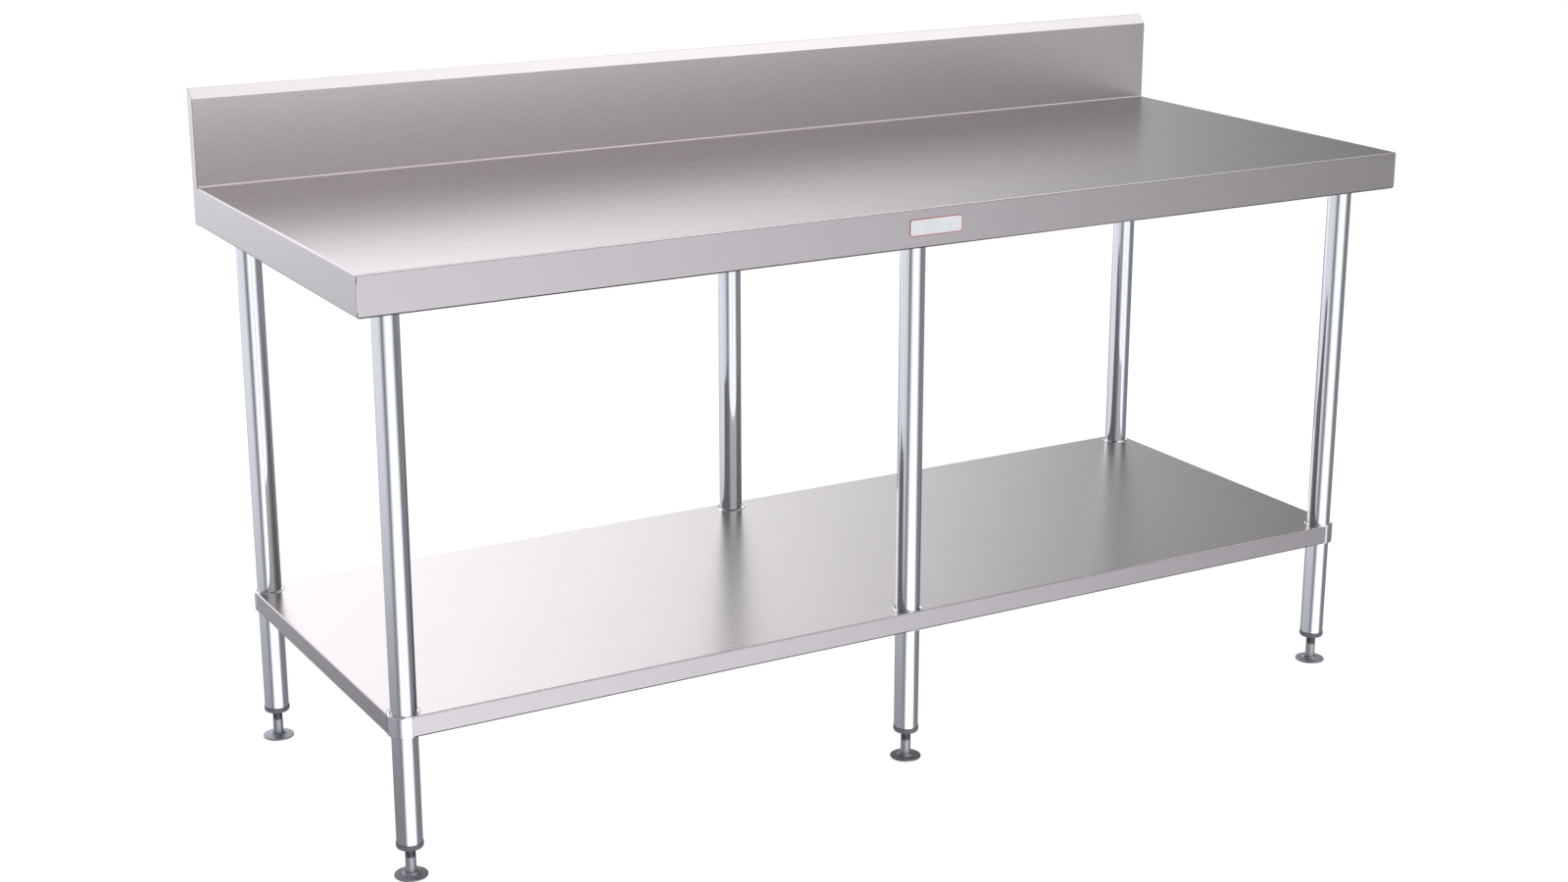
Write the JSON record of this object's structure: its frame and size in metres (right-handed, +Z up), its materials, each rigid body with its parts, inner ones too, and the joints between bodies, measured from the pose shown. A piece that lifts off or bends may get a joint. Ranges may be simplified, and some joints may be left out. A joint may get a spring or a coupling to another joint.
{
  "type": "stainless work table",
  "caption": "Stainless steel kitchen work table with a rear splashback, round tubular legs, a height-adjustable undershelf and screw-adjusted disc feet.",
  "frame": {"origin": "on the floor under the middle of the table", "axes": "+X along the length to the right as seen from the working side, +Y to the back where the splashback is, +Z up"},
  "size_m": [1.8, 0.7008, 1.05],
  "materials": {
    "stainless_satin": "satin, fine grain along the length",
    "stainless_polished": "polished tube",
    "galvanised": "galvanised, dull spangle",
    "insert_plastic": "moulded nylon",
    "foot_steel": "turned steel",
    "set_screw": "black oxide",
    "badge_plate": "blank plate"
  },
  "bodies": {
    "bench": {"worktop_skin": "stainless_satin", "rear_apron": "stainless_satin", "splashback_end_left": "stainless_satin", "splashback_end_right": "stainless_satin", "top_cross_channel_left": "galvanised", "top_cross_channel_middle": "galvanised", "top_cross_channel_right": "galvanised", "top_rail_front": "galvanised", "top_rail_rear": "galvanised", "badge": "badge_plate", "leg_front_left": "stainless_polished", "leg_socket_front_left": "stainless_satin", "socket_screw_front_left": "set_screw", "leg_insert_front_left": "insert_plastic", "leg_front_middle": "stainless_polished", "leg_socket_front_middle": "stainless_satin", "socket_screw_front_middle": "set_screw", "leg_insert_front_middle": "insert_plastic", "leg_front_right": "stainless_polished", "leg_socket_front_right": "stainless_satin", "socket_screw_front_right": "set_screw", "leg_insert_front_right": "insert_plastic", "leg_rear_left": "stainless_polished", "leg_socket_rear_left": "stainless_satin", "socket_screw_rear_left": "set_screw", "leg_insert_rear_left": "insert_plastic", "leg_rear_middle": "stainless_polished", "leg_socket_rear_middle": "stainless_satin", "socket_screw_rear_middle": "set_screw", "leg_insert_rear_middle": "insert_plastic", "leg_rear_right": "stainless_polished", "leg_socket_rear_right": "stainless_satin", "socket_screw_rear_right": "set_screw", "leg_insert_rear_right": "insert_plastic"},
    "undershelf": {"shelf_pan": "stainless_satin", "shelf_rail": "galvanised", "shelf_collar_front_left": "stainless_polished", "shelf_collar_front_middle": "stainless_polished", "shelf_collar_front_right": "stainless_polished", "shelf_collar_rear_left": "stainless_polished", "shelf_collar_rear_middle": "stainless_polished", "shelf_collar_rear_right": "stainless_polished", "collar_screw_front_left": "set_screw", "collar_screw_front_middle": "set_screw", "collar_screw_front_right": "set_screw", "collar_screw_rear_left": "set_screw", "collar_screw_rear_middle": "set_screw", "collar_screw_rear_right": "set_screw"},
    "foot_front_left": {"foot_disc_front_left": "foot_steel"},
    "spindle_front_left": {"foot_spindle_front_left": "foot_steel"},
    "foot_front_middle": {"foot_disc_front_middle": "foot_steel"},
    "spindle_front_middle": {"foot_spindle_front_middle": "foot_steel"},
    "foot_front_right": {"foot_disc_front_right": "foot_steel"},
    "spindle_front_right": {"foot_spindle_front_right": "foot_steel"},
    "foot_rear_left": {"foot_disc_rear_left": "foot_steel"},
    "spindle_rear_left": {"foot_spindle_rear_left": "foot_steel"},
    "foot_rear_middle": {"foot_disc_rear_middle": "foot_steel"},
    "spindle_rear_middle": {"foot_spindle_rear_middle": "foot_steel"},
    "foot_rear_right": {"foot_disc_rear_right": "foot_steel"},
    "spindle_rear_right": {"foot_spindle_rear_right": "foot_steel"}
  },
  "joints": [
    {"name": "shelf_height", "type": "slide", "parent": "bench", "child": "undershelf", "axis": [0, 0, 1], "range_m": [-0.15, 0.4]},
    {"name": "foot_height_front_left", "type": "slide", "parent": "bench", "child": "foot_front_left", "axis": [0, 0, -1], "range_m": [-0.013, 0.025]},
    {"name": "spindle_turn_front_left", "type": "hinge", "parent": "foot_front_left", "child": "spindle_front_left", "pos_m": [-0.839, -0.288, 0.02], "axis": [0, 0, -1], "range_deg": [-2340, 4500]},
    {"name": "foot_height_front_middle", "type": "slide", "parent": "bench", "child": "foot_front_middle", "axis": [0, 0, -1], "range_m": [-0.013, 0.025]},
    {"name": "spindle_turn_front_middle", "type": "hinge", "parent": "foot_front_middle", "child": "spindle_front_middle", "pos_m": [0, -0.288, 0.02], "axis": [0, 0, -1], "range_deg": [-2340, 4500]},
    {"name": "foot_height_front_right", "type": "slide", "parent": "bench", "child": "foot_front_right", "axis": [0, 0, -1], "range_m": [-0.013, 0.025]},
    {"name": "spindle_turn_front_right", "type": "hinge", "parent": "foot_front_right", "child": "spindle_front_right", "pos_m": [0.839, -0.288, 0.02], "axis": [0, 0, -1], "range_deg": [-2340, 4500]},
    {"name": "foot_height_rear_left", "type": "slide", "parent": "bench", "child": "foot_rear_left", "axis": [0, 0, -1], "range_m": [-0.013, 0.025]},
    {"name": "spindle_turn_rear_left", "type": "hinge", "parent": "foot_rear_left", "child": "spindle_rear_left", "pos_m": [-0.839, 0.288, 0.02], "axis": [0, 0, -1], "range_deg": [-2340, 4500]},
    {"name": "foot_height_rear_middle", "type": "slide", "parent": "bench", "child": "foot_rear_middle", "axis": [0, 0, -1], "range_m": [-0.013, 0.025]},
    {"name": "spindle_turn_rear_middle", "type": "hinge", "parent": "foot_rear_middle", "child": "spindle_rear_middle", "pos_m": [0, 0.288, 0.02], "axis": [0, 0, -1], "range_deg": [-2340, 4500]},
    {"name": "foot_height_rear_right", "type": "slide", "parent": "bench", "child": "foot_rear_right", "axis": [0, 0, -1], "range_m": [-0.013, 0.025]},
    {"name": "spindle_turn_rear_right", "type": "hinge", "parent": "foot_rear_right", "child": "spindle_rear_right", "pos_m": [0.839, 0.288, 0.02], "axis": [0, 0, -1], "range_deg": [-2340, 4500]}
  ],
  "couplings": [
    {"joint": "spindle_turn_front_left", "follows": "foot_height_front_left", "rad_per_m": 3141.6},
    {"joint": "spindle_turn_front_middle", "follows": "foot_height_front_middle", "rad_per_m": 3141.6},
    {"joint": "spindle_turn_front_right", "follows": "foot_height_front_right", "rad_per_m": 3141.6},
    {"joint": "spindle_turn_rear_left", "follows": "foot_height_rear_left", "rad_per_m": 3141.6},
    {"joint": "spindle_turn_rear_middle", "follows": "foot_height_rear_middle", "rad_per_m": 3141.6},
    {"joint": "spindle_turn_rear_right", "follows": "foot_height_rear_right", "rad_per_m": 3141.6}
  ]
}
